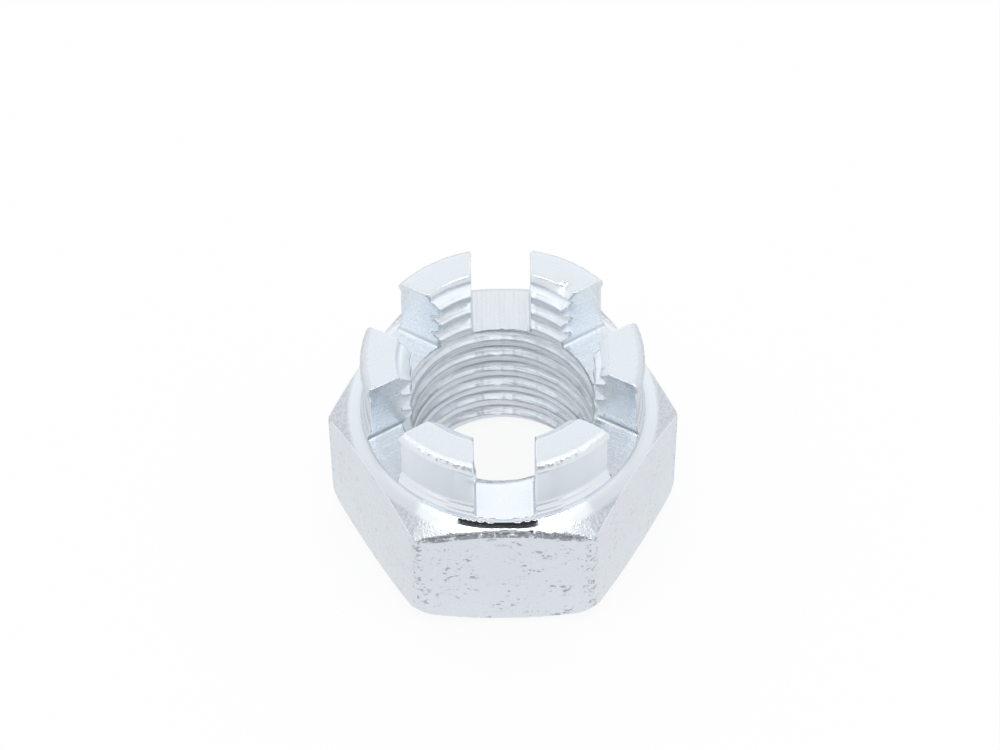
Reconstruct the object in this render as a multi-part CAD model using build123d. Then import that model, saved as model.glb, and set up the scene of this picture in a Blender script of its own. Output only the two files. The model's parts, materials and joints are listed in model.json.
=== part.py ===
from build123d import *
import os
from math import ceil, cos, pi, radians, tan

# Castle nut, in millimetres and degrees. The origin is the middle of the bearing face, +Z runs up the bore to
# the crown, and one flat of the hexagon faces -Y.

# Hexagon
across_flats = 24.0
corner_rounding = 0.6
hexagon_sides = 6

# Bearing side: the face that is screwed down, and the chamfer round it
bearing_face_diameter = 21.7
bearing_chamfer_angle = 25.0

# Heights above the bearing face
total_height = 19.0
slot_floor_height = 13.0

# Cone that slopes from the foot of the crown down to the flats
shoulder_drop = 0.36
shoulder_land_width = 0.03
shoulder_cone_angle = 30.0

# Crown: its widest diameter is over the lip that was rolled outwards at its top edge
crown_diameter = 22.0
lip_overhang = 0.28
lip_depth = 1.1
lip_rounding = 0.65

# Two small steps round the foot of the crown
foot_step_width = 0.19
foot_step_angle = 60.0
foot_step_rise = 0.55
foot_first_step_rise = 0.58
foot_step_count = 2

# Slots for the split pin, one over each flat
slot_count = 6
slot_width = 4.65
slot_corner_radius = 0.25

# Bore and its right-hand thread for a 16 mm bolt: the wall stands at the thread's crests. The middle of the groove
# crosses the +X side at the given height, and again each pitch above and below it.
thread_crest_diameter = 14.4
thread_root_diameter = 16.2
thread_pitch = 2.0
thread_flank_angle = 30.0
groove_height = 1.75
countersink_diameter = 16.6
countersink_angle = 42.0

# Room by which a cutter passes the surface that it cuts
cutter_overrun = 1.0
groove_overrun = 0.2

# Values worked out from the sizes above
corner_radius = across_flats / 2 / cos(radians(180 / hexagon_sides))
bearing_radius = bearing_face_diameter / 2
crown_radius = crown_diameter / 2
wall_radius = crown_radius - lip_overhang
foot_radius = wall_radius + foot_step_count * foot_step_width
shoulder_radius = foot_radius + shoulder_land_width
shoulder_height = slot_floor_height - shoulder_drop
bore_radius = thread_crest_diameter / 2
groove_radius = thread_root_diameter / 2
groove_bottom_width = thread_pitch / 8
mouth_radius = countersink_diameter / 2
countersink_depth = (mouth_radius - bore_radius) / tan(radians(countersink_angle))
stock_radius = max(corner_radius, crown_radius) + cutter_overrun


def rise(run, angle):
    """Height that a slope at this angle gains over a run."""
    return run * tan(radians(angle))


def bearing_side_points():
    """Bearing face and the chamfer outside it, from the bore outwards."""
    chamfer_top = rise(stock_radius - bearing_radius, bearing_chamfer_angle)
    return [(mouth_radius, 0), (bearing_radius, 0), (stock_radius, chamfer_top)]


def cone_points():
    """Cone between the flats and the shoulder, from outside inwards."""
    cone_foot = shoulder_height - rise(stock_radius - shoulder_radius, shoulder_cone_angle)
    return [(stock_radius, cone_foot), (shoulder_radius, shoulder_height)]


def foot_points():
    """Small steps at the foot of the crown, from the shoulder up to the plain wall."""
    step_slope_rise = rise(foot_step_width, foot_step_angle)
    points = []
    for step in range(foot_step_count):
        radius = foot_radius - step * foot_step_width
        height = shoulder_height + foot_first_step_rise + step * foot_step_rise
        points.append((radius, height))
        points.append((radius - foot_step_width, height + step_slope_rise))
    return points


def lip_lines(lip_foot):
    """Lip round the crown's top edge: it swells outwards and rounds over into the top face."""
    widest = (crown_radius, total_height - lip_rounding)
    top_edge = (crown_radius - lip_rounding, total_height)
    swell = Spline([lip_foot, widest], tangents=[(0, 1), (0, 1)])
    round_over = TangentArc([widest, top_edge], tangent=(0, 1))
    return [swell, round_over]


def bore_points():
    """Bore with a countersink at each end, from the top face down to the bearing face."""
    top_edge = (crown_radius - lip_rounding, total_height)
    return [
        top_edge,
        (mouth_radius, total_height),
        (bore_radius, total_height - countersink_depth),
        (bore_radius, countersink_depth),
        (mouth_radius, 0),
    ]


def turned_body():
    """Everything that is round about the axis, before the flats and the slots are cut."""
    lip_foot = (wall_radius, total_height - lip_depth)
    outside = Polyline(bearing_side_points() + cone_points() + foot_points() + [lip_foot])
    section = make_face([outside, *lip_lines(lip_foot), Polyline(bore_points())])
    return revolve(Plane.XZ * section, Axis.Z)


def hexagon_bar():
    """Hexagon bar with rounded corners, as high as the nut."""
    hexagon = RegularPolygon(across_flats / 2, hexagon_sides, major_radius=False)
    bar = extrude(hexagon, total_height)
    return fillet(bar.edges().filter_by(Axis.Z), corner_rounding)


def slot_cutter(angle):
    """Milling cutter's path for one slot, from the axis outwards."""
    height = total_height - slot_floor_height + cutter_overrun
    block = Box(stock_radius, slot_width, height, align=(Align.MIN, Align.CENTER, Align.MIN))
    floor_edges = block.edges().filter_by(Axis.X).group_by(Axis.Z)[0]
    block = fillet(floor_edges, slot_corner_radius)
    return Rot(Z=angle) * Pos(Z=slot_floor_height) * block


def groove_turn(start):
    """One turn of the thread's groove as a solid, wound up from this height on the +X side."""
    open_radius = bore_radius - groove_overrun
    bottom = groove_bottom_width / 2
    opening = bottom + rise(groove_radius - open_radius, thread_flank_angle)
    corners = [(open_radius, -opening), (groove_radius, -bottom), (groove_radius, bottom), (open_radius, opening)]
    paths = [
        Pos(Z=start + height) * Edge.make_helix(thread_pitch, thread_pitch, radius)
        for radius, height in corners
    ]
    sides = [Face.make_surface_from_curves(a, b) for a, b in zip(paths, paths[1:] + paths[:1])]
    ends = [make_face(Polyline([path @ end for path in paths], close=True)).face() for end in (0, 1)]
    return Solid(Shell(sides + ends))


def cut_thread(body):
    """Cuts the thread from below the bearing face to above the top, and makes sure that it is there.

    It is cut turn by turn: a groove of many turns in one solid can leave a plain bore without an error.
    """
    first_turn = groove_height % thread_pitch - 2 * thread_pitch
    turns = ceil((total_height + thread_pitch - first_turn) / thread_pitch)
    threaded = body
    for turn in range(turns):
        threaded -= groove_turn(first_turn + turn * thread_pitch)
    groove_depth = groove_radius - bore_radius
    section = groove_depth * (groove_bottom_width + rise(groove_depth, thread_flank_angle))
    turn_length = pi * (groove_radius + bore_radius)
    wall_turns = (total_height - 2 * countersink_depth) / thread_pitch
    if body.volume - threaded.volume < 0.9 * section * turn_length * wall_turns:
        raise ValueError("the thread's groove wasn't cut")
    return threaded


def castle_nut():
    """The whole nut, one piece of steel."""
    nut = cut_thread(turned_body() & hexagon_bar())
    first_slot = 180 / hexagon_sides
    for slot in range(slot_count):
        nut -= slot_cutter(first_slot + slot * 360 / slot_count)
    return nut


os.makedirs("parts", exist_ok=True)
export_step(castle_nut(), "parts/castle_nut.step")
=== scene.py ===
"""Castle nut in zinc-plated steel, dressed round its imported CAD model."""

import json
from math import cos, pi, radians, sin, tan

import bpy
import numpy as np
from bpy.props import FloatProperty, FloatVectorProperty, IntProperty, PointerProperty
from mathutils import Matrix, Vector

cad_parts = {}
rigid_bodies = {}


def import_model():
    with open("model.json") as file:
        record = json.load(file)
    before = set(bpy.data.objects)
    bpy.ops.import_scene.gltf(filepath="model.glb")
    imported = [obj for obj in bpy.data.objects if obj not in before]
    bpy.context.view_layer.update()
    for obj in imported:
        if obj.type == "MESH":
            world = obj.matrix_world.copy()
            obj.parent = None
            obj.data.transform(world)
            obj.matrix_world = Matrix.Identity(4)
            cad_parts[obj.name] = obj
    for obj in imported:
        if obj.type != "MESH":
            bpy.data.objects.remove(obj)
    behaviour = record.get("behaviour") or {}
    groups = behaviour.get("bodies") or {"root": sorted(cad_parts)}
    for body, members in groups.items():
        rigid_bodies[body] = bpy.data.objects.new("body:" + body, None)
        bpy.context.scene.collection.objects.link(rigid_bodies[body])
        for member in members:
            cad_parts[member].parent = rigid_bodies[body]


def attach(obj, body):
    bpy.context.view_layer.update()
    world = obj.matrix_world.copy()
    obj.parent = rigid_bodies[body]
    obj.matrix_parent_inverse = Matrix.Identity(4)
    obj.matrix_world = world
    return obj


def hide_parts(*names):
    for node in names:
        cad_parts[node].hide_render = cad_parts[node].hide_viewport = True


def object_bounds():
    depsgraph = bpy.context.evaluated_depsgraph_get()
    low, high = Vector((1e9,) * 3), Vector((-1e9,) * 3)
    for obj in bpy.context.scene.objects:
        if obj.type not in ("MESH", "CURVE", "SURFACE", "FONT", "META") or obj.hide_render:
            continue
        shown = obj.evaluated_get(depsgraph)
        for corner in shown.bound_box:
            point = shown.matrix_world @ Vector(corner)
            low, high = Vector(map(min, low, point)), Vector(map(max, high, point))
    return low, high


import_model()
cad_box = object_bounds()

bl_info = {
    "name": "Castle nut",
    "version": (1, 0, 0),
    "blender": (4, 5, 0),
    "location": "3D View > Sidebar > Castle nut",
    "description": "Builds a slotted hexagon nut with its thread, its zinc finish and a plain pale stage",
    "category": "Add Mesh",
}

# The mesh is worked on in millimetres and scaled to metres when it is finished.
MM = 1000.0
FULL_TURN = 2 * pi
HALF_SECTOR = pi / 6
SECTOR = pi / 3
IMAGE_WIDTH = 1000
IMAGE_HEIGHT = 750
SENSOR_WIDTH = 36

# Small sizes of the shape, in millimetres
CUTTER_ROOM = 1.0
SLOT_PATH_LENGTH = 30.0
GROOVE_CUTTER_DEPTH = 1.4
FIRST_STEP_RISE = 0.58
STEP_SLOPE = radians(60)
STEP_TREAD = 0.22
PLAIN_WALL_RISE = 1.5
LIP_STEPS = 6
FAR = 99.0

# Settings of the mesh. Above the first height a flat's edge is its upper one, and between the other two lies
# the foot of the crown.
UPPER_RIM = 8
FOOT_LOW = 12.3
FOOT_HIGH = 14.4
FOOT_RADIUS = 11.75
WEIGHT_LEVELS = 20
SHARP_EDGE = radians(25)
SMOOTH_SHADING = radians(38)

# How the lower chamfer bends up at the worn corners: distance inside the sharp corner, and extra height
WORN_CORNER = (
    (0.62, 0.0), (0.48, 0.03), (0.36, 0.12), (0.25, 0.3),
    (0.17, 0.6), (0.12, 1.0), (0.09, 1.6), (0.07, 2.6),
)

# Single marks: a nick in the right rear crown piece's mouth, and the lip's swelling left of the front slot
NICK = (4.9, 6.7, 18.9)
SWELLING = (-2.3, -10.4, 17.7)

# Middle of the crown, which the lamp and the card face, in metres
AIM = Vector((0, 0, 0.013))


# Sizes, finish and stage that a user would change


class CastleNutSizes(bpy.types.PropertyGroup):
    """Sizes of the nut."""

    across_flats: FloatProperty(
        name="Across flats", description="Wrench size of the hexagon", default=0.024, unit="LENGTH",
        precision=5)
    corner_rounding: FloatProperty(
        name="Corner rounding", description="Radius of the hexagon's upright edges", default=0.0006,
        unit="LENGTH", precision=5)
    bearing_diameter: FloatProperty(
        name="Bearing face", description="Outside diameter of the face that is screwed down", default=0.0217,
        unit="LENGTH", precision=5)
    bearing_chamfer: FloatProperty(
        name="Bearing chamfer", description="Slope of the chamfer round the bearing face",
        default=radians(25), subtype="ANGLE")
    height: FloatProperty(
        name="Height", description="Height of the nut", default=0.019, unit="LENGTH", precision=5)
    slot_floor: FloatProperty(
        name="Slot floor", description="Height of the slots' floors", default=0.013, unit="LENGTH",
        precision=5)
    slot_width: FloatProperty(
        name="Slot width", description="Width of a split-pin slot", default=0.00465, unit="LENGTH",
        precision=5)
    slot_rounding: FloatProperty(
        name="Slot rounding", description="Radius between a slot's floor and its walls", default=0.00025,
        unit="LENGTH", precision=5)
    slot_turn: FloatProperty(
        name="Slot turn", description="How far the slots are turned off the middles of the flats",
        default=radians(0.4), subtype="ANGLE")
    shoulder_diameter: FloatProperty(
        name="Shoulder", description="Diameter where the cone meets the foot of the crown", default=0.02226,
        unit="LENGTH", precision=5)
    shoulder_height: FloatProperty(
        name="Shoulder height", description="Height where the cone meets the foot of the crown",
        default=0.01264, unit="LENGTH", precision=5)
    cone_slope: FloatProperty(
        name="Cone slope", description="Slope of the cone above the flats", default=radians(31),
        subtype="ANGLE")
    ring_width: FloatProperty(
        name="Ring width", description="Width of the smooth turned ring at the foot of the crown",
        default=0.00056, unit="LENGTH", precision=5)
    ring_slope: FloatProperty(
        name="Ring slope", description="Slope of the smooth turned ring", default=radians(26),
        subtype="ANGLE")
    wall_diameter: FloatProperty(
        name="Crown wall", description="Diameter of the crown below its lip", default=0.02144, unit="LENGTH",
        precision=5)
    crown_diameter: FloatProperty(
        name="Crown lip", description="Diameter over the rolled lip of the crown", default=0.022,
        unit="LENGTH", precision=5)
    step_width: FloatProperty(
        name="Foot step", description="Width of each small step round the foot of the crown", default=0.00019,
        unit="LENGTH", precision=5)
    lip_depth: FloatProperty(
        name="Lip depth", description="How far below the top the lip starts to swell", default=0.0011,
        unit="LENGTH", precision=5)
    lip_rounding: FloatProperty(
        name="Lip rounding", description="Radius of the lip's upper edge", default=0.00065, unit="LENGTH",
        precision=5)
    crest_diameter: FloatProperty(
        name="Thread crests", description="Diameter over the thread's crests, where the bore's wall stands",
        default=0.0144, unit="LENGTH", precision=5)
    root_diameter: FloatProperty(
        name="Thread roots", description="Diameter at the bottom of the thread's groove", default=0.0162,
        unit="LENGTH", precision=5)
    thread_pitch: FloatProperty(
        name="Pitch", description="Pitch of the right-hand thread", default=0.002, unit="LENGTH", precision=5)
    groove_height: FloatProperty(
        name="Groove height", description="Height of the middle of one groove on the +X side",
        default=0.00175, unit="LENGTH", precision=5)
    countersink_diameter: FloatProperty(
        name="Countersink", description="Diameter of the countersinks at both ends of the bore",
        default=0.0166, unit="LENGTH", precision=5)
    countersink_angle: FloatProperty(
        name="Countersink angle", description="Angle of the countersinks to the axis", default=radians(42),
        subtype="ANGLE")


class CastleNutMesh(bpy.types.PropertyGroup):
    """How finely the nut's mesh is made."""

    segments: IntProperty(
        name="Segments", description="Segments round the turned body", default=360, min=96, max=720)
    thread_steps: IntProperty(
        name="Thread steps", description="Steps in one turn of the thread", default=180, min=48, max=360)
    grain: FloatProperty(
        name="Grain", description="Size of the cells that the solid is rebuilt from, which rounds its edges",
        default=0.0001, unit="LENGTH", precision=5)
    triangles: IntProperty(
        name="Triangles", description="Triangles in the finished mesh", default=190000, min=20000, max=199000)


class CastleNutFinish(bpy.types.PropertyGroup):
    """Colours of the zinc finish, also used to paint light and shade into it."""

    zinc: FloatVectorProperty(
        name="Zinc", description="Colour of the plating", default=(0.77, 0.82, 0.87), subtype="COLOR", size=3,
        min=0, max=1)
    # Paler colour mixed in as painted light, in the slots and the bore partly the tone of cut metal
    cut: FloatVectorProperty(
        name="Cut metal", description="Brighter colour in the slots and the bore", default=(0.90, 0.95, 1.0),
        subtype="COLOR", size=3, min=0, max=1)
    tint: FloatVectorProperty(
        name="Tint", description="Faint lilac cast that lies on the flats in patches",
        default=(0.78, 0.79, 0.88), subtype="COLOR", size=3, min=0, max=1)
    pit: FloatVectorProperty(
        name="Pit", description="Colour in pits and scratches", default=(0.30, 0.32, 0.35), subtype="COLOR",
        size=3, min=0, max=1)


class CastleNutStage(bpy.types.PropertyGroup):
    """Floor, light and camera."""

    floor_colour: FloatVectorProperty(
        name="Floor", description="Colour of the floor", default=(0.9, 0.9, 0.9), subtype="COLOR", size=3,
        min=0, max=1)
    table_glow: FloatProperty(
        name="Table glow", description="Brightness of the floor in the metal's reflections", default=0.86,
        min=0, max=1)
    sky_glow: FloatProperty(
        name="Surroundings", description="Brightness of the surroundings in reflections", default=0.9, min=0,
        max=2)
    sky_slope: FloatProperty(
        name="Surroundings slope", description="How much brighter the surroundings are behind the nut",
        default=0.2, min=0, max=1)
    panel_glow: FloatProperty(
        name="Panel glow", description="Brightness of the lamp's face", default=1.4, min=0, max=5)
    room_glow: FloatProperty(
        name="Room glow", description="Brightness of the dark side of the room, where the camera stands",
        default=0.04, min=0, max=1)
    room_low_glow: FloatProperty(
        name="Room low glow", description="Brightness of the room's dark side near the floor", default=0.5,
        min=0, max=1)
    lens: FloatProperty(
        name="Lens", description="Focal length in millimetres", default=130.84, min=20, max=400)
    camera_distance: FloatProperty(
        name="Distance",
        description="Distance from the bearing face's middle to the camera, along the line of sight",
        default=0.29463, unit="LENGTH", precision=5)
    camera_elevation: FloatProperty(
        name="Elevation", description="Camera's angle above the floor", default=radians(53.091),
        subtype="ANGLE")
    camera_azimuth: FloatProperty(
        name="Azimuth", description="Camera's turn about the nut", default=radians(-0.068), subtype="ANGLE")
    camera_roll: FloatProperty(
        name="Roll", description="Camera's turn about its line of sight", default=radians(0.573),
        subtype="ANGLE")
    aim_across: FloatProperty(
        name="Aim across", description="Pixel column of the bearing face's middle", default=503.66)
    aim_down: FloatProperty(
        name="Aim down", description="Pixel row of the bearing face's middle", default=497.5)


# Selecting and finishing meshes


def deselect_everything():
    """Leave edit mode, and nothing selected."""
    if bpy.context.mode != "OBJECT":
        bpy.ops.object.mode_set(mode="OBJECT")
    bpy.ops.object.select_all(action="DESELECT")


def make_active(piece):
    """Select one object alone."""
    deselect_everything()
    piece.hide_set(False)
    piece.select_set(True)
    bpy.context.view_layer.objects.active = piece


def name_new(name):
    """Name the object that an operator has just added, and its mesh."""
    piece = bpy.context.object
    piece.name = name
    piece.data.name = name
    return piece


def select_edges(piece, chosen):
    """Select the edges whose two ends pass the test."""
    make_active(piece)
    bpy.ops.object.mode_set(mode="EDIT")
    bpy.ops.mesh.select_mode(type="EDGE")
    bpy.ops.mesh.select_all(action="DESELECT")
    bpy.ops.object.mode_set(mode="OBJECT")
    for edge in piece.data.edges:
        a, b = (piece.data.vertices[i].co for i in edge.vertices)
        edge.select = chosen(a, b)
    bpy.ops.object.mode_set(mode="EDIT")


def close_and_orient(merge_distance):
    """In edit mode, merge doubles, close holes and turn all faces outwards."""
    bpy.ops.mesh.select_all(action="SELECT")
    bpy.ops.mesh.remove_doubles(threshold=merge_distance)
    bpy.ops.mesh.fill_holes(sides=0)
    bpy.ops.mesh.select_all(action="SELECT")
    bpy.ops.mesh.normals_make_consistent(inside=False)
    bpy.ops.object.mode_set(mode="OBJECT")


def apply_modifier(piece, kind, **settings):
    """Add a modifier, set it and apply it."""
    make_active(piece)
    modifier = piece.modifiers.new(kind.title(), kind)
    for name, value in settings.items():
        setattr(modifier, name, value)
    bpy.ops.object.modifier_apply(modifier=modifier.name)


def combine(piece, tool, operation):
    """Cut, join or intersect the piece with a tool, which is used up."""
    apply_modifier(piece, "BOOLEAN", object=tool, operation=operation, solver="MANIFOLD")
    bpy.data.objects.remove(tool)
    if not piece.data.polygons:
        raise RuntimeError(f"{operation} left nothing of {piece.name}")


# The nut's solid


def lip_points(size):
    """Outline of the crown's rolled lip, from the wall over the lip to the top face."""
    wall = size["wall_diameter"] / 2
    crown = size["crown_diameter"] / 2
    foot = size["height"] - size["lip_depth"]
    widest = size["height"] - size["lip_rounding"]
    points = []
    for step in range(1, LIP_STEPS + 1):
        share = step / LIP_STEPS
        swell = share * share * (3 - 2 * share)
        points.append((wall + (crown - wall) * swell, foot + (widest - foot) * share))
    rounding = size["lip_rounding"]
    for step in range(1, LIP_STEPS + 1):
        angle = radians(90 / LIP_STEPS * step)
        points.append((crown - rounding * (1 - cos(angle)), widest + rounding * sin(angle)))
    return points


def section_points(size):
    """The nut's section, radius and height, from the lower countersink outwards, up and down the bore."""
    corner = size["across_flats"] / 2 / cos(HALF_SECTOR)
    stock = corner + CUTTER_ROOM
    bearing = size["bearing_diameter"] / 2
    shoulder = size["shoulder_diameter"] / 2
    ring = shoulder + size["ring_width"]
    ring_height = size["shoulder_height"] - size["ring_width"] * tan(size["ring_slope"])
    cone_foot = ring_height - (stock - ring) * tan(size["cone_slope"])
    slope = tan(size["bearing_chamfer"])
    chamfer = [(bearing, 0)]
    for inside, extra in WORN_CORNER:
        chamfer.append((corner - inside, (corner - inside - bearing) * slope + extra))
    chamfer.append((stock, chamfer[-1][1] + CUTTER_ROOM))
    step = size["step_width"]
    wall = size["wall_diameter"] / 2
    mouth = size["countersink_diameter"] / 2
    bore = size["crest_diameter"] / 2
    sink = (mouth - bore) / tan(size["countersink_angle"])
    top = size["height"]
    first_step = size["shoulder_height"] + FIRST_STEP_RISE
    step_rise = step * tan(STEP_SLOPE)
    return [
        (mouth, 0), *chamfer, (stock, cone_foot), (ring, ring_height),
        (shoulder, size["shoulder_height"]),
        (wall + 2 * step, first_step), (wall + step, first_step + step_rise),
        (wall + step, first_step + step_rise + STEP_TREAD), (wall, first_step + 2 * step_rise + STEP_TREAD),
        (wall, top - size["lip_depth"]),
        *lip_points(size),
        (mouth, top), (bore, top - sink), (bore, sink),
    ]


def turned_body(size, segments):
    """Everything that is round about the axis: a ring is extruded along the section until it meets itself."""
    points = section_points(size)
    radius, height = points[0]
    deselect_everything()
    bpy.ops.mesh.primitive_circle_add(
        vertices=segments, radius=radius, fill_type="NOTHING", location=(0, 0, height))
    body = name_new("castle_nut")
    bpy.ops.object.mode_set(mode="EDIT")
    bpy.ops.mesh.select_mode(type="EDGE")
    bpy.ops.mesh.select_all(action="SELECT")
    for next_radius, next_height in points[1:] + points[:1]:
        bpy.ops.mesh.extrude_region_move(TRANSFORM_OT_translate={"value": (0, 0, next_height - height)})
        scale = next_radius / radius
        bpy.ops.transform.resize(value=(scale, scale, 1), center_override=(0, 0, next_height))
        radius, height = next_radius, next_height
    close_and_orient(merge_distance=0.001)
    return body


def hexagon_bar(size):
    """Hexagon bar with rounded corners, from below the nut to above it."""
    apothem = size["across_flats"] / 2
    deselect_everything()
    bpy.ops.mesh.primitive_cylinder_add(
        vertices=6, radius=apothem / cos(HALF_SECTOR), depth=size["height"] + 2 * CUTTER_ROOM,
        location=(0, 0, size["height"] / 2), rotation=(0, 0, HALF_SECTOR))
    bar = name_new("hexagon_bar")
    bpy.ops.object.transform_apply(location=True, rotation=True, scale=True)
    select_edges(bar, lambda a, b: abs(a.z - b.z) > 1)
    tangent = size["corner_rounding"] * tan(HALF_SECTOR)
    bpy.ops.mesh.bevel(offset=tangent, segments=6, affect="EDGES")
    bpy.ops.object.mode_set(mode="OBJECT")
    return bar


def slot_cutter(size, angle):
    """Path of the milling cutter through two opposite slots."""
    floor = size["slot_floor"]
    depth = size["height"] - floor + CUTTER_ROOM
    deselect_everything()
    bpy.ops.mesh.primitive_cube_add(size=1, location=(0, 0, floor + depth / 2), rotation=(0, 0, angle))
    cutter = name_new("slot_cutter")
    bpy.ops.transform.resize(value=(SLOT_PATH_LENGTH, size["slot_width"], depth), orient_type="LOCAL")
    bpy.ops.object.transform_apply(location=True, rotation=True, scale=True)
    along = Vector((cos(angle), sin(angle), 0))

    def floor_edge(a, b):
        low = max(a.z, b.z) < floor + 0.01
        return low and abs((a - b).dot(along)) > SLOT_PATH_LENGTH / 2

    select_edges(cutter, floor_edge)
    bpy.ops.mesh.bevel(offset=size["slot_rounding"], segments=4, affect="EDGES")
    bpy.ops.object.mode_set(mode="OBJECT")
    return cutter


def thread_cutter(size, steps):
    """The groove of the thread as a solid: one tooth, wound up the bore."""
    pitch = size["thread_pitch"]
    outer = size["root_diameter"] / 2
    depth = GROOVE_CUTTER_DEPTH
    outer_width = pitch / 8
    inner_width = outer_width + 2 * depth * tan(HALF_SECTOR)
    start = size["groove_height"] - 2 * pitch
    deselect_everything()
    bpy.ops.mesh.primitive_plane_add(size=1, location=(outer - depth / 2, 0, start), rotation=(pi / 2, 0, 0))
    tooth = name_new("thread_cutter")
    bpy.ops.object.transform_apply(location=True, rotation=True, scale=True)
    for vertex in tooth.data.vertices:
        outside = vertex.co.x > outer - depth / 2
        width = outer_width if outside else inner_width
        side = 1 if vertex.co.z > start else -1
        vertex.co = (outer if outside else outer - depth, 0, start + side * width / 2)
    make_active(tooth)
    bpy.ops.object.mode_set(mode="EDIT")
    bpy.ops.mesh.select_all(action="SELECT")
    bpy.ops.mesh.delete(type="ONLY_FACE")
    bpy.ops.object.mode_set(mode="OBJECT")
    apply_modifier(
        tooth, "SCREW", axis="Z", angle=FULL_TURN, screw_offset=pitch, iterations=12, steps=steps,
        render_steps=steps, use_merge_vertices=False, use_smooth_shade=False)
    make_active(tooth)
    bpy.ops.object.mode_set(mode="EDIT")
    close_and_orient(merge_distance=0.0001)
    return tooth


# Wear and irregular edges


def smooth_step(values, low, high):
    """0 below low, 1 above high, smooth in between; the other way round where low is above high."""
    share = np.clip((values - low) / (high - low), 0, 1)
    return share * share * (3 - 2 * share)


class Surface:
    """Places of a mesh's vertices, how far up they face, and how far they lie from the nut's forms, in
    millimetres."""

    def __init__(self, piece, size):
        count = len(piece.data.vertices)
        places = np.zeros(count * 3)
        piece.data.vertices.foreach_get("co", places)
        normals = np.zeros(count * 3)
        piece.data.vertices.foreach_get("normal", normals)
        self.x, self.y, self.z = places.reshape(-1, 3).T
        self.nz = normals.reshape(-1, 3)[:, 2]
        self.r = np.hypot(self.x, self.y)
        self.below_top = size["height"] - self.z
        self.from_slot = np.full(count, FAR)
        self.from_flat = np.full(count, FAR)
        self.from_edge = np.full(count, FAR)
        reach = size["across_flats"] / 2 / cos(HALF_SECTOR)
        for turn in range(6):
            flat = HALF_SECTOR + turn * SECTOR
            out = self.x * cos(flat) + self.y * sin(flat)
            self.from_flat = np.minimum(self.from_flat, size["across_flats"] / 2 - out)
            corner = SECTOR * turn
            edge = np.hypot(self.x - reach * cos(corner), self.y - reach * sin(corner))
            self.from_edge = np.minimum(self.from_edge, edge)
            slot = flat + size["slot_turn"]
            out = self.x * cos(slot) + self.y * sin(slot)
            side = self.y * cos(slot) - self.x * sin(slot)
            wall = np.where(out > 0, np.abs(side) - size["slot_width"] / 2, FAR)
            self.from_slot = np.minimum(self.from_slot, wall)

    def near_place(self, spread, place):
        """1 at a place, fading over the spread."""
        return near(spread, self.x - place[0], self.y - place[1], self.z - place[2])


def near(spread, *distances):
    """1 where all the distances are nothing, fading over the spread."""
    return np.exp(-sum(distance * distance for distance in distances) / spread ** 2)


def weigh(piece, weights):
    """Vertex group of the given weights, rounded to a few levels."""
    group = piece.vertex_groups.new(name="weigh")
    levels = np.round(weights * WEIGHT_LEVELS).astype(int)
    for level in range(1, WEIGHT_LEVELS + 1):
        chosen = np.flatnonzero(levels == level)
        if len(chosen):
            group.add(chosen.tolist(), level / WEIGHT_LEVELS, "REPLACE")
    return group.name


def soften(piece, weights, rounds):
    """Round the weighted part of the surface."""
    group = weigh(piece, weights)
    apply_modifier(piece, "SMOOTH", vertex_group=group, factor=0.5, iterations=rounds)
    piece.vertex_groups.clear()


def clouds(name, grain, depth=2):
    """A procedural pattern for wear."""
    pattern = bpy.data.textures.new(name, "CLOUDS")
    pattern.noise_scale = grain
    pattern.noise_depth = depth
    return pattern


def wear(piece, weights, pattern, strength, mid_level):
    """Move the weighted part of the surface in and out by a pattern."""
    group = weigh(piece, weights)
    apply_modifier(
        piece, "DISPLACE", vertex_group=group, texture=pattern, texture_coords="LOCAL", strength=strength,
        mid_level=mid_level, direction="NORMAL")
    piece.vertex_groups.clear()


def push(piece, weights, distance):
    """Move the weighted part of the surface out by a distance, or in where it is negative."""
    group = weigh(piece, weights)
    apply_modifier(
        piece, "DISPLACE", vertex_group=group, strength=distance, mid_level=0, direction="NORMAL")
    piece.vertex_groups.clear()


def round_edges(piece, size):
    """Rounded edges, as tumbling and plating leave them: most at the crown's outer corners."""
    s = Surface(piece, size)
    crown = s.z > size["slot_floor"] + 1.5
    outer = size["crown_diameter"] / 2 - s.r
    mouth = s.r - size["countersink_diameter"] / 2
    outer_corner = near(0.9, s.from_slot, np.maximum(outer, 0), np.maximum(s.below_top - 0.4, 0))
    soften(piece, np.where(crown, outer_corner, 0), rounds=36)
    soften(piece, np.where(crown, near(0.35, s.from_slot, s.below_top), 0), rounds=10)
    soften(piece, np.where(crown, near(0.5, mouth, s.below_top), 0), rounds=16)
    hexagon = s.z < size["slot_floor"] - 0.2
    soften(piece, np.where(hexagon, near(0.8, s.from_edge), 0), rounds=16)
    upper_rim = hexagon & (s.z > UPPER_RIM)
    rim = np.where(upper_rim, near(0.25, s.from_flat), 0) * smooth_step(np.abs(s.nz), 0.05, 0.3)
    soften(piece, rim, rounds=4)


def roughen(piece, size):
    """Beads on the lip, a nick in one crown piece's mouth, the lip's swelling into the front slot, and the
    burr on the front flat's upper edge."""
    s = Surface(piece, size)
    lip = smooth_step(s.below_top, 1.2, 0.7) * smooth_step(s.r, 9.9, 10.4)
    wear(piece, lip, clouds("lip_beads", 0.32), strength=0.1, mid_level=0.6)
    push(piece, s.near_place(0.45, NICK), -0.3)
    push(piece, s.near_place(0.75, SWELLING), 0.22)
    edge_height = size["shoulder_height"] - (s.r - size["shoulder_diameter"] / 2) * tan(size["cone_slope"])
    front_edge = np.where(s.y < -11.5, near(0.2, s.from_flat, s.z - edge_height), 0)
    front_edge = front_edge * smooth_step(np.abs(s.x), 6.2, 5.4)
    wear(piece, front_edge, clouds("burr", 0.5, depth=4), strength=0.26, mid_level=0.72)


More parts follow.
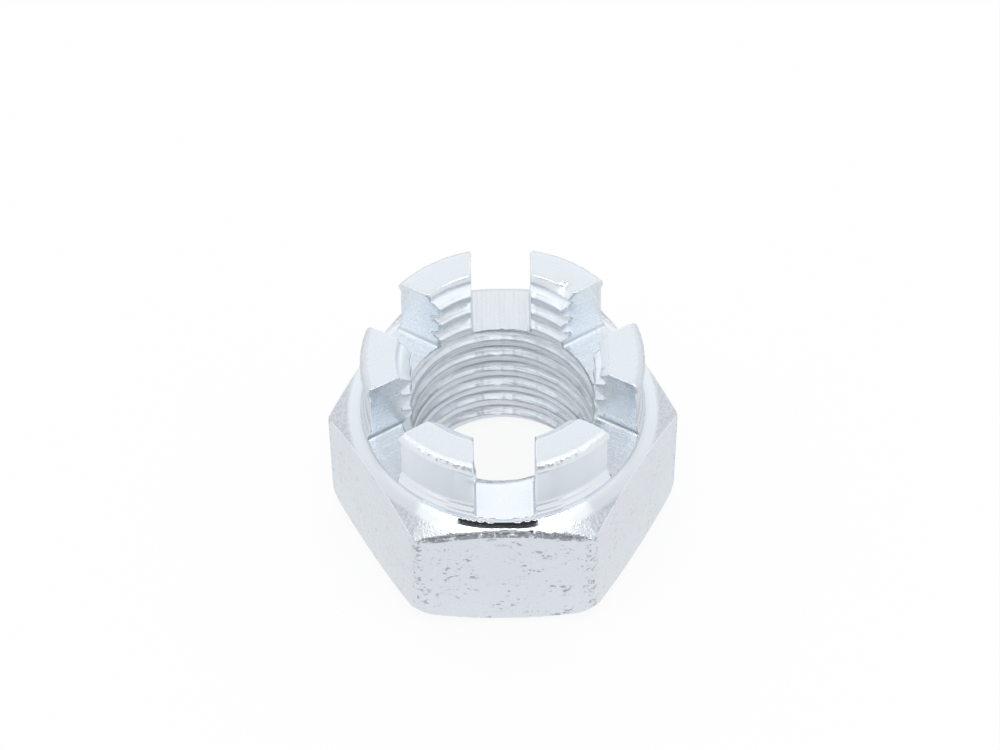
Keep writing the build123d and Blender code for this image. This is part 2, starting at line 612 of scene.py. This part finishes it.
def true_turned_faces(piece, size):
    """Lay the crown's wall, the ring and the cone back on their turned surfaces, which the rebuilding left a
    little uneven."""
    s = Surface(piece, size)
    ring = size["ring_width"]
    run = s.r - size["shoulder_diameter"] / 2
    drop = np.where(
        run < ring, run * tan(size["ring_slope"]),
        ring * tan(size["ring_slope"]) + (run - ring) * tan(size["cone_slope"]))
    height = size["shoulder_height"] - drop
    on_cone = (run > 0.0) & (s.nz > 0.5) & (s.from_flat > 0.1) & (np.abs(s.z - height) < 0.15)
    wall = size["wall_diameter"] / 2
    wall_foot = size["shoulder_height"] + PLAIN_WALL_RISE
    on_wall = smooth_step(s.from_slot, 0.05, 0.3) * smooth_step(s.z, wall_foot, wall_foot + 0.15)
    on_wall = on_wall * smooth_step(s.below_top, size["lip_depth"], size["lip_depth"] + 0.15)
    on_wall = np.where(np.abs(s.r - wall) < 0.1, on_wall, 0)
    scale = 1 + (wall / s.r - 1) * on_wall
    places = np.column_stack((s.x * scale, s.y * scale, np.where(on_cone, height, s.z)))
    piece.data.vertices.foreach_set("co", places.ravel())
    piece.data.update()


def keep_in_box(piece, box):
    """Move back what wear or thinning has pushed out of the CAD model's box."""
    places = np.zeros(len(piece.data.vertices) * 3)
    piece.data.vertices.foreach_get("co", places)
    low, high = (np.array(corner) * MM for corner in box)
    piece.data.vertices.foreach_set("co", np.clip(places.reshape(-1, 3), low, high).ravel())
    piece.data.update()


def sharp_bands(piece, sharpness, width):
    """Which vertices lie on a sharp edge or within so many rings of vertices from one."""
    make_active(piece)
    bpy.ops.object.mode_set(mode="EDIT")
    bpy.ops.mesh.select_mode(type="EDGE")
    bpy.ops.mesh.select_all(action="DESELECT")
    bpy.ops.mesh.edges_select_sharp(sharpness=sharpness)
    bpy.ops.mesh.select_mode(type="VERT")
    for _ in range(width):
        bpy.ops.mesh.select_more(use_face_step=False)
    bpy.ops.object.mode_set(mode="OBJECT")
    chosen = np.zeros(len(piece.data.vertices), bool)
    piece.data.vertices.foreach_get("select", chosen)
    return chosen


def finish_mesh(piece, size, settings):
    """Thin the flats and the thread to the mesh's budget, scale it to metres and smooth its shading.
    Edges, lip and foot of the crown keep all their vertices, so that their shading stays clean."""
    make_active(piece)
    bpy.ops.object.mode_set(mode="EDIT")
    bpy.ops.mesh.select_all(action="SELECT")
    bpy.ops.mesh.quads_convert_to_tris()
    bpy.ops.object.mode_set(mode="OBJECT")
    count = len(piece.data.polygons)
    s = Surface(piece, size)
    bore = (s.r < size["root_diameter"] / 2 + 0.1) & (s.z < size["height"] - 0.4)
    foot = (s.r > size["wall_diameter"] / 2 - 0.1) & (s.r < FOOT_RADIUS)
    foot = foot & (s.z > FOOT_LOW) & (s.z < FOOT_HIGH)
    keep = (sharp_bands(piece, SHARP_EDGE, width=2) & ~bore) | foot
    group = piece.vertex_groups.new(name="thin")
    group.add(np.flatnonzero(~keep).tolist(), 1.0, "REPLACE")
    if count > settings.triangles:
        apply_modifier(piece, "DECIMATE", ratio=settings.triangles / count, vertex_group="thin")
    piece.vertex_groups.clear()
    keep_in_box(piece, cad_box)
    make_active(piece)
    bpy.ops.transform.resize(value=(1 / MM,) * 3, center_override=(0, 0, 0))
    bpy.ops.object.transform_apply(location=True, rotation=True, scale=True)
    bpy.ops.object.shade_smooth_by_angle(angle=SMOOTH_SHADING)
    apply_modifier(piece, "WEIGHTED_NORMAL", mode="FACE_AREA", weight=50, keep_sharp=True)


def sizes_in_millimetres(sizes):
    """The nut's lengths in millimetres and its angles in radians, by name."""
    angles = ("bearing_chamfer", "slot_turn", "cone_slope", "ring_slope", "countersink_angle")
    values = {}
    for name in sizes.bl_rna.properties.keys():
        if name in ("rna_type", "name"):
            continue
        value = getattr(sizes, name)
        values[name] = value if name in angles else value * MM
    return values


def build_nut(sizes, mesh):
    """The nut's mesh: turned, trimmed to a hexagon, slotted, tapped and given wear."""
    size = sizes_in_millimetres(sizes)
    nut = turned_body(size, mesh.segments)
    combine(nut, hexagon_bar(size), "INTERSECT")
    combine(nut, thread_cutter(size, mesh.thread_steps), "DIFFERENCE")
    for pair in range(3):
        combine(nut, slot_cutter(size, pi / 2 + pair * SECTOR + size["slot_turn"]), "DIFFERENCE")
    apply_modifier(
        nut, "REMESH", mode="VOXEL", voxel_size=mesh.grain * MM, adaptivity=0, use_smooth_shade=True)
    round_edges(nut, size)
    true_turned_faces(nut, size)
    roughen(nut, size)
    finish_mesh(nut, size, mesh)
    return nut


# Shader maths


class Wire:
    """An output socket of a node. Sums and products of wires add Math nodes."""

    def __init__(self, tree, socket=None):
        self.tree = tree
        self.socket = socket

    def add(self, kind, settings=(), inputs=(), output=0):
        """Add a node: its type, its settings, then the values or links of its sockets."""
        node = self.tree.nodes.new(kind)
        for name, value in dict(settings).items():
            setattr(node, name, value)
        for name, value in dict(inputs).items():
            socket = node.inputs[name]
            if isinstance(value, Wire):
                self.tree.links.new(value.socket, socket)
            else:
                socket.default_value = value
        return Wire(self.tree, node.outputs[output]) if output is not None else node

    def math(self, operation, *values):
        """A Math node."""
        return self.add("ShaderNodeMath", {"operation": operation}, enumerate(values))

    def __add__(self, other):
        return self.math("ADD", self, other)

    def __radd__(self, other):
        return self.math("ADD", other, self)

    def __sub__(self, other):
        return self.math("SUBTRACT", self, other)

    def __rsub__(self, other):
        return self.math("SUBTRACT", other, self)

    def __mul__(self, other):
        return self.math("MULTIPLY", self, other)

    def __rmul__(self, other):
        return self.math("MULTIPLY", other, self)

    def __truediv__(self, other):
        return self.math("DIVIDE", self, other)

    def __neg__(self):
        return self.math("MULTIPLY", self, -1.0)

    def __abs__(self):
        return self.math("ABSOLUTE", self)


def ramp_between(value, low, high):
    """0 below low, 1 above high, smooth in between."""
    return value.add(
        "ShaderNodeMapRange", {"interpolation_type": "SMOOTHSTEP"},
        {"Value": value, "From Min": low, "From Max": high})


def zinc_material(finish, size):
    """Bright zinc plating over turned, milled, tapped and forged steel, with light and shade painted into its
    colour in places.
    """
    material = bpy.data.materials.new("zinc_plated_steel")
    material.use_nodes = True
    tree = material.node_tree
    shader = tree.nodes["Principled BSDF"]
    root = Wire(tree)

    def noise(place, scale, detail=2.0, roughness=0.5, dimensions="3D", w=0.0):
        inputs = {"Vector": place, "Scale": scale, "Detail": detail, "Roughness": roughness}
        if dimensions == "4D":
            inputs["W"] = w
        return root.add("ShaderNodeTexNoise", {"noise_dimensions": dimensions}, inputs, "Fac")

    def join(x, y, z):
        return root.add("ShaderNodeCombineXYZ", inputs={0: x, 1: y, 2: z})

    def mix_colour(share, first, second):
        return root.add("ShaderNodeMix", {"data_type": "RGBA"}, {0: share, 6: first, 7: second}, 2)

    def at_most_one(value):
        return root.math("MINIMUM", value, 1.0)

    # Place in millimetres, and round the axis
    where = root.add("ShaderNodeTexCoord", output="Object")
    where = root.add("ShaderNodeVectorMath", {"operation": "SCALE"}, {0: where, "Scale": MM})
    split = root.add("ShaderNodeSeparateXYZ", inputs={0: where}, output=None)
    x, y, z = (Wire(tree, split.outputs[name]) for name in "XYZ")
    r = root.math("SQRT", x * x + y * y)
    angle = root.math("ARCTAN2", y, x)

    # Slots: u runs along a slot and v across it
    first_slot = HALF_SECTOR + size["slot_turn"]
    sector = root.math("ROUND", (angle - first_slot) * (1 / SECTOR))
    local = angle - first_slot - sector * SECTOR
    u = r * root.math("COSINE", local)
    v = r * root.math("SINE", local)
    height = size["slot_floor"]
    half = size["slot_width"] / 2
    in_slot = ramp_between(half + 0.12 - abs(v), 0.0, 0.06) * ramp_between(z, height - 0.15, height - 0.05)
    in_slot = in_slot * ramp_between(r, 6.8, 6.95)

    # Flats: how far inside the hexagon, measured from the nearest flat
    flat_local = angle - HALF_SECTOR
    flat_local = flat_local - root.math("ROUND", flat_local * (1 / SECTOR)) * SECTOR
    across = r * root.math("COSINE", flat_local)
    along = r * root.math("SINE", flat_local)
    on_flat = ramp_between(across, 11.86, 11.95)
    edge = on_flat * ramp_between(abs(along), 6.1, 6.7)

    # Crown, top, bore and cone
    crown = ramp_between(z, height - 0.6, height - 0.3) * ramp_between(r, 10.3, 10.5)
    top = ramp_between(z, size["height"] - 0.2, size["height"] - 0.05)
    bore = ramp_between(8.4 - r, 0.0, 0.1) * (1 - top) * (1 - in_slot)
    cone = ramp_between(r, 11.0, 11.1) * ramp_between(11.92 - across, 0.0, 0.08) * ramp_between(z, 9.5, 10.0)
    corner = cone * ramp_between(r, 11.95, 12.35)
    ring = cone * ramp_between(12.5 - r, 0.0, 0.3)

    # Single slots, and the outer part of their walls, on which a dark reflection is painted
    front_slot = in_slot * ramp_between(-y, 6.0, 7.0) * ramp_between(3.0 - abs(x), 0.0, 0.3)
    on_floor = ramp_between(height + 0.4 - z, 0.0, 0.2)
    side_floor = in_slot * ramp_between(abs(x), 4.0, 5.0) * ramp_between(-y, 1.0, 3.0) * on_floor
    low_slot = in_slot * on_floor * (1 - front_slot)
    # Outer part of the slot walls, darkened as a painted reflection
    wall_painted_reflection = (in_slot - front_slot) * ramp_between(z, height + 0.5, height + 0.9)
    wall_painted_reflection = wall_painted_reflection * ramp_between(u - 9.3 - 0.36 * (18.9 - z), 0.0, 0.15)

    # Parts of the bore and of the crown
    mouth = bore * ramp_between(z, size["height"] - 1.3, size["height"] - 1.1)
    upper = bore * ramp_between(z, height - 0.3, height + 0.5)
    # The bore's upper part on the +x side, painted lighter
    bore_side_painted_light = upper * ramp_between(x, 1.0, 4.0)
    lip = crown * ramp_between(z, size["height"] - 1.2, size["height"] - 0.9)
    side_wall = crown * ramp_between(abs(x), 9.0, 10.0) * (1 - in_slot)
    front_wall = crown * ramp_between(-y, 5.0, 8.0) * (1 - in_slot)
    plain_wall = front_wall * (1 - lip) * ramp_between(z, height + 0.9, height + 1.1)

    # Burr where the cone meets the front flat
    cone_height = size["shoulder_height"] - (r - size["shoulder_diameter"] / 2) * tan(size["cone_slope"])
    burr = ramp_between(0.38 - abs(cone_height - z), 0.0, 0.12) * ramp_between(across, 11.72, 11.84)
    burr = burr * ramp_between(-y, 11.3, 11.5) * ramp_between(6.6 - abs(x), 0.0, 0.8)
    burr = burr * ramp_between(z, 11.0, 11.3)

    # Patterns: marks left by the tools, and grain of several sizes
    milled = noise(join(u * 0.22, v * 5.5 + sector * 3.1, z * 5.5 + sector * 7.7), 1.0, 3.0, 0.65)
    turned = noise(join(x / r * 1.4, y / r * 1.4, z * 6.0 + r * 9.0), 1.0, 3.0, 0.6)
    phase = z * (FULL_TURN / size["thread_pitch"]) - angle
    round_groove = join(root.math("COSINE", phase) * 2.0, root.math("SINE", phase) * 2.0, x / r * 1.1)
    tapped = noise(round_groove, 1.0, 4.0, 0.75, "4D", y / r * 1.1 + z * 0.25)
    forged = noise(where, 1.1, 4.0, 0.6)
    grain = noise(where, 4.5, 2.0, 0.5)
    fine = noise(where, 9.0, 2.0, 0.6)
    scratch = noise(join(along * 0.7, z * 6.0, sector * 5.3), 1.0, 3.0, 0.7)
    pits = noise(join(x * 0.7, y * 0.7, z), 2.3, 3.0, 0.6)
    hammered = noise(where, 2.9, 4.0, 0.68)

    # Wear: pits, mostly on the front flat, scratches, and a ragged edge and gritty corners
    rare = ramp_between(noise(where, 0.4, 1.0, 0.4), 0.42, 0.6)
    pit = ramp_between(pits, 0.60, 0.66) * rare * on_flat * (0.35 + 0.65 * ramp_between(-y, 11.6, 11.9))
    edge_pit = ramp_between(hammered, 0.55, 0.64) * edge
    scratched = ramp_between(scratch, 0.66, 0.73) * on_flat * 0.5
    ragged = ramp_between(noise(where, 2.2, 4.0, 0.7), 0.40, 0.52) * burr
    gritty = ramp_between(grain, 0.46, 0.6) * corner

    # Relief in millimetres
    bump = milled * (in_slot * 0.018 + side_floor * 0.016 - front_slot * 0.010)
    bump = bump + turned * (crown + corner) * 0.003 + tapped * (bore - mouth * 0.8) * 0.042
    bump = bump + forged * (on_flat * 0.03 + top * 0.02) + hammered * on_flat * 0.010
    bump = bump + grain * (on_flat * 0.004 + corner * 0.022 + top * 0.004) + fine * (1 - ring) * 0.0015
    bump = bump - pit * 0.03 - edge_pit * 0.05 - scratched * 0.006 - ragged * 0.06

    # Colour: zinc with lilac patches on the flats. Paler on the flats, and paler as painted light in the
    # slots and the bore, where it is partly the tone of cut metal, towards the bottom of the flats, on the
    # crown's front walls and in the bore's upper part, most on its +x side
    patches = ramp_between(noise(where, 0.28, 2.0, 0.5), 0.45, 0.62) * on_flat
    colour = mix_colour(patches * 0.5, (*finish.zinc, 1), (*finish.tint, 1))
    # Painted light: the slots, the bore, the flats' lower part, the crown's front walls and the bore's upper
    # part, most on its +x side, are mixed towards the paler colour
    low = ramp_between(7.0 - z, 0.0, 6.0) * on_flat
    pale = in_slot + bore * 0.75 + on_flat * 0.3 + low * 0.2 + front_wall * 0.95 + (upper + bore_side_painted_light) * 0.25
    colour = mix_colour(at_most_one(pale), colour, (*finish.cut, 1))

    # Duller in the milled streaks and on the cone's corners; painted shade on the slot floors except the
    # front one, most on the two front side floors, and on the crown's left and right walls; and a painted
    # dark reflection on the outer part of the slot walls
    dull = tuple(shade * 0.80 for shade in finish.zinc) + (1,)
    streaks = ramp_between(milled, 0.42, 0.62) * (in_slot * 0.15 + side_floor * 0.85 - front_slot * 0.15)
    # Milled streaks, the cone's corners, painted shade on the slot floors and on the crown's side walls, and
    # the painted reflection on the slot walls
    dull_marks_and_painted_shade = streaks + side_floor * 0.45 + low_slot * 0.45 + side_wall * 0.4 + corner * 0.9 + wall_painted_reflection * 0.25
    colour = mix_colour(at_most_one(dull_marks_and_painted_shade), colour, dull)

    # Dark in the pits and the scratches, and as painted shade along the turns of the thread, less at the
    # bore's mouth, in its upper part and on its +x side
    stains_and_painted_shade = pit * 0.65 + edge_pit * 0.5 + scratched * 0.3 + ragged * 0.85 + gritty * 0.22
    # Painted shade in the thread, weaker towards the top of the bore and on its +x side
    bore_painted_shade = bore - upper * 0.45 - mouth * 0.30 - bore_side_painted_light * 0.25
    stains_and_painted_shade = stains_and_painted_shade + ramp_between(tapped, 0.50, 0.57) * bore_painted_shade * 0.36
    stains_and_painted_shade = stains_and_painted_shade + ramp_between(hammered, 0.55, 0.68) * on_flat * 0.10
    colour = mix_colour(at_most_one(stains_and_painted_shade), colour, (*finish.pit, 1))

    # Roughness: the ring is polished, and the front walls are matt
    rough = 0.26 - ring * 0.18 - crown * 0.08 + bore * 0.18 + in_slot * 0.04 + on_flat * 0.04
    rough = rough + (grain - 0.5) * (1 - ring) * 0.2 + ragged * 0.15 + lip * 0.16 + mouth * 0.12
    rough = rough + plain_wall * 0.24

    shader.inputs["Metallic"].default_value = 1.0
    relief = root.add("ShaderNodeBump", inputs={"Strength": 1.0, "Distance": 1 / MM, "Height": bump})
    tree.links.new(relief.socket, shader.inputs["Normal"])
    tree.links.new(colour.socket, shader.inputs["Base Color"])
    tree.links.new(rough.socket, shader.inputs["Roughness"])
    return material


class CASTLENUT_OT_nut(bpy.types.Operator):
    """Build the nut, with its thread, its wear and its zinc finish."""

    bl_idname = "castle_nut.build_nut"
    bl_label = "Build nut"
    bl_options = {"REGISTER", "UNDO"}

    def execute(self, context):
        scene = context.scene
        nut = build_nut(scene.castle_nut_sizes, scene.castle_nut_mesh)
        nut.data.materials.clear()
        size = sizes_in_millimetres(scene.castle_nut_sizes)
        nut.data.materials.append(zinc_material(scene.castle_nut_finish, size))
        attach(nut, "root")
        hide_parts("castle_nut")
        return {"FINISHED"}


# Stage


def place_camera(stage):
    """Camera at the photograph's viewing angle."""
    elevation, azimuth = stage.camera_elevation, stage.camera_azimuth
    back = Vector((sin(azimuth) * cos(elevation), -cos(azimuth) * cos(elevation), sin(elevation)))
    right = Vector((cos(azimuth), sin(azimuth), 0))
    up = back.cross(right)
    roll = stage.camera_roll
    across = right * cos(roll) - up * sin(roll)
    upward = right * sin(roll) + up * cos(roll)
    pixel = stage.camera_distance / (stage.lens / SENSOR_WIDTH * IMAGE_WIDTH)
    aim = across * (stage.aim_across - IMAGE_WIDTH / 2) - upward * (stage.aim_down - IMAGE_HEIGHT / 2)
    place = back * stage.camera_distance - aim * pixel
    deselect_everything()
    bpy.ops.object.camera_add()
    camera = bpy.context.object
    camera.name = "camera"
    turn = Matrix((across, upward, back)).transposed().to_4x4()
    camera.matrix_world = Matrix.Translation(place) @ turn
    camera.data.lens = stage.lens
    camera.data.sensor_width = SENSOR_WIDTH
    camera.data.clip_start = 0.01
    camera.data.clip_end = 50
    bpy.context.scene.camera = camera


def toward(direction, distance):
    """Place at a distance from the nut, in a direction given by its parts across, back and up."""
    return Vector(direction).normalized() * distance + AIM


def aim_at_nut(thing):
    """Turn a lamp or card to face the nut."""
    line = AIM - thing.location
    thing.rotation_euler = line.to_track_quat("-Z", "Y").to_euler()


def add_panel(name, direction, distance, width, height, glow):
    """Soft rectangular lamp whose face has a plain brightness, 1 for white."""
    deselect_everything()
    bpy.ops.object.light_add(type="AREA", location=toward(direction, distance))
    lamp = bpy.context.object
    lamp.name = name
    lamp.data.name = name
    lamp.data.shape = "RECTANGLE"
    lamp.data.size = width
    lamp.data.size_y = height
    lamp.data.energy = glow * pi * width * height
    aim_at_nut(lamp)


def add_card(name, direction, distance, width, height, shade):
    """Matt card that only reflections show."""
    deselect_everything()
    bpy.ops.mesh.primitive_plane_add(size=1, location=toward(direction, distance))
    card = name_new(name)
    bpy.ops.transform.resize(value=(width, height, 1), orient_type="LOCAL")
    bpy.ops.object.transform_apply(location=False, rotation=False, scale=True)
    aim_at_nut(card)
    material = bpy.data.materials.new(name)
    material.use_nodes = True
    shader = material.node_tree.nodes["Principled BSDF"]
    shader.inputs["Base Color"].default_value = (shade, shade, shade, 1)
    shader.inputs["Roughness"].default_value = 0.9
    card.data.materials.append(material)
    card.visible_camera = False
    card.visible_shadow = False
    card.visible_diffuse = False


def floor_material(stage):
    """Pale floor that shines through to the camera and to reflections, and still takes a soft shadow."""
    material = bpy.data.materials.new("floor")
    material.use_nodes = True
    tree = material.node_tree
    tree.nodes.clear()
    root = Wire(tree)
    matt = root.add("ShaderNodeBsdfDiffuse", inputs={"Color": (*stage.floor_colour, 1)})
    glow = root.add("ShaderNodeEmission", inputs={"Color": (1, 1, 1, 1), "Strength": 1.0})
    table = root.add("ShaderNodeEmission", inputs={"Color": (1, 1, 1, 1), "Strength": stage.table_glow})
    camera_ray = root.add("ShaderNodeLightPath", output="Is Camera Ray")
    glossy_ray = root.add("ShaderNodeLightPath", output="Is Glossy Ray")
    seen = root.add("ShaderNodeMixShader", inputs={0: camera_ray * 0.88, 1: matt, 2: glow})
    surface = root.add("ShaderNodeMixShader", inputs={0: glossy_ray * 0.92, 1: seen, 2: table})
    root.add("ShaderNodeOutputMaterial", inputs={"Surface": surface}, output=None)
    return material


def light_world(stage):
    """White background for the camera. Reflections show pale surroundings, brighter behind the nut, and above
    the front a soft box that reaches down on both sides of the room's dark side, where the camera stands."""
    world = bpy.data.worlds.new("surroundings")
    bpy.context.scene.world = world
    world.use_nodes = True
    tree = world.node_tree
    tree.nodes.clear()
    root = Wire(tree)
    direction = root.add("ShaderNodeTexCoord", output="Generated")
    split = root.add("ShaderNodeSeparateXYZ", inputs={0: direction}, output=None)
    side, back, up = (Wire(tree, split.outputs[name]) for name in "XYZ")
    side = abs(side)

    # Edges of the box and of the room's dark side, as directions seen from the nut
    box = ramp_between(0.405 - side - 0.6725 * back, -0.05, 0.02) * ramp_between(-back, -0.06, 0.04)
    room = ramp_between(0.265 - 0.447 * back - side, -0.02, 0.03) * ramp_between(0.77 - up, -0.02, 0.02)
    room = room * ramp_between(-back, 0.0, 0.1)

    sky = back * stage.sky_slope + stage.sky_glow
    lit = sky + box * (stage.panel_glow - 0.5 * side - sky)
    wall = stage.room_glow + (stage.room_low_glow - stage.room_glow) * ramp_between(0.60 - up, 0.0, 0.1)
    glow = lit + room * (wall - lit)
    around = root.add("ShaderNodeBackground", inputs={"Color": (1, 1, 1, 1), "Strength": glow})
    white = root.add("ShaderNodeBackground", inputs={"Color": (1, 1, 1, 1), "Strength": 1.0})
    camera_ray = root.add("ShaderNodeLightPath", output="Is Camera Ray")
    seen = root.add("ShaderNodeMixShader", inputs={0: camera_ray, 1: around, 2: white})
    root.add("ShaderNodeOutputWorld", inputs={"Surface": seen}, output=None)


class CASTLENUT_OT_stage(bpy.types.Operator):
    """Build the floor, the light and the camera."""

    bl_idname = "castle_nut.build_stage"
    bl_label = "Build stage"
    bl_options = {"REGISTER", "UNDO"}

    def execute(self, context):
        stage = context.scene.castle_nut_stage
        deselect_everything()
        bpy.ops.mesh.primitive_plane_add(size=4, location=(0, 0, 0))
        floor = name_new("floor")
        floor.data.materials.append(floor_material(stage))
        light_world(stage)
        add_panel(
            "front_panel", direction=(0, -0.33, 0.944), distance=0.8, width=0.7, height=0.42,
            glow=stage.panel_glow)
        add_card(
            "camera_card", direction=(-0.03, -0.225, 0.957), distance=0.5, width=0.26, height=0.14,
            shade=0.02)
        place_camera(stage)
        context.scene.view_settings.view_transform = "Standard"
        return {"FINISHED"}


class CASTLENUT_PT_panel(bpy.types.Panel):
    """Lists the sizes and the builders."""

    bl_idname = "CASTLENUT_PT_panel"
    bl_label = "Castle nut"
    bl_space_type = "VIEW_3D"
    bl_region_type = "UI"
    bl_category = "Castle nut"

    def draw(self, context):
        layout = self.layout
        for name in GROUPS:
            group = getattr(context.scene, name)
            for prop in group.bl_rna.properties.keys():
                if prop not in ("rna_type", "name"):
                    layout.prop(group, prop)
        layout.operator(CASTLENUT_OT_stage.bl_idname)
        layout.operator(CASTLENUT_OT_nut.bl_idname)


GROUPS = {
    "castle_nut_sizes": CastleNutSizes,
    "castle_nut_mesh": CastleNutMesh,
    "castle_nut_finish": CastleNutFinish,
    "castle_nut_stage": CastleNutStage,
}
CLASSES = (*GROUPS.values(), CASTLENUT_OT_stage, CASTLENUT_OT_nut, CASTLENUT_PT_panel)


def register():
    """Register the classes and the settings that they read."""
    for cls in CLASSES:
        bpy.utils.register_class(cls)
    for name, group in GROUPS.items():
        setattr(bpy.types.Scene, name, PointerProperty(type=group))


def unregister():
    """Take the settings and the classes out again."""
    for name in GROUPS:
        delattr(bpy.types.Scene, name)
    for cls in reversed(CLASSES):
        bpy.utils.unregister_class(cls)


def main():
    """Build everything."""
    register()
    bpy.ops.castle_nut.build_stage()
    bpy.ops.castle_nut.build_nut()


if __name__ == "__main__":
    main()
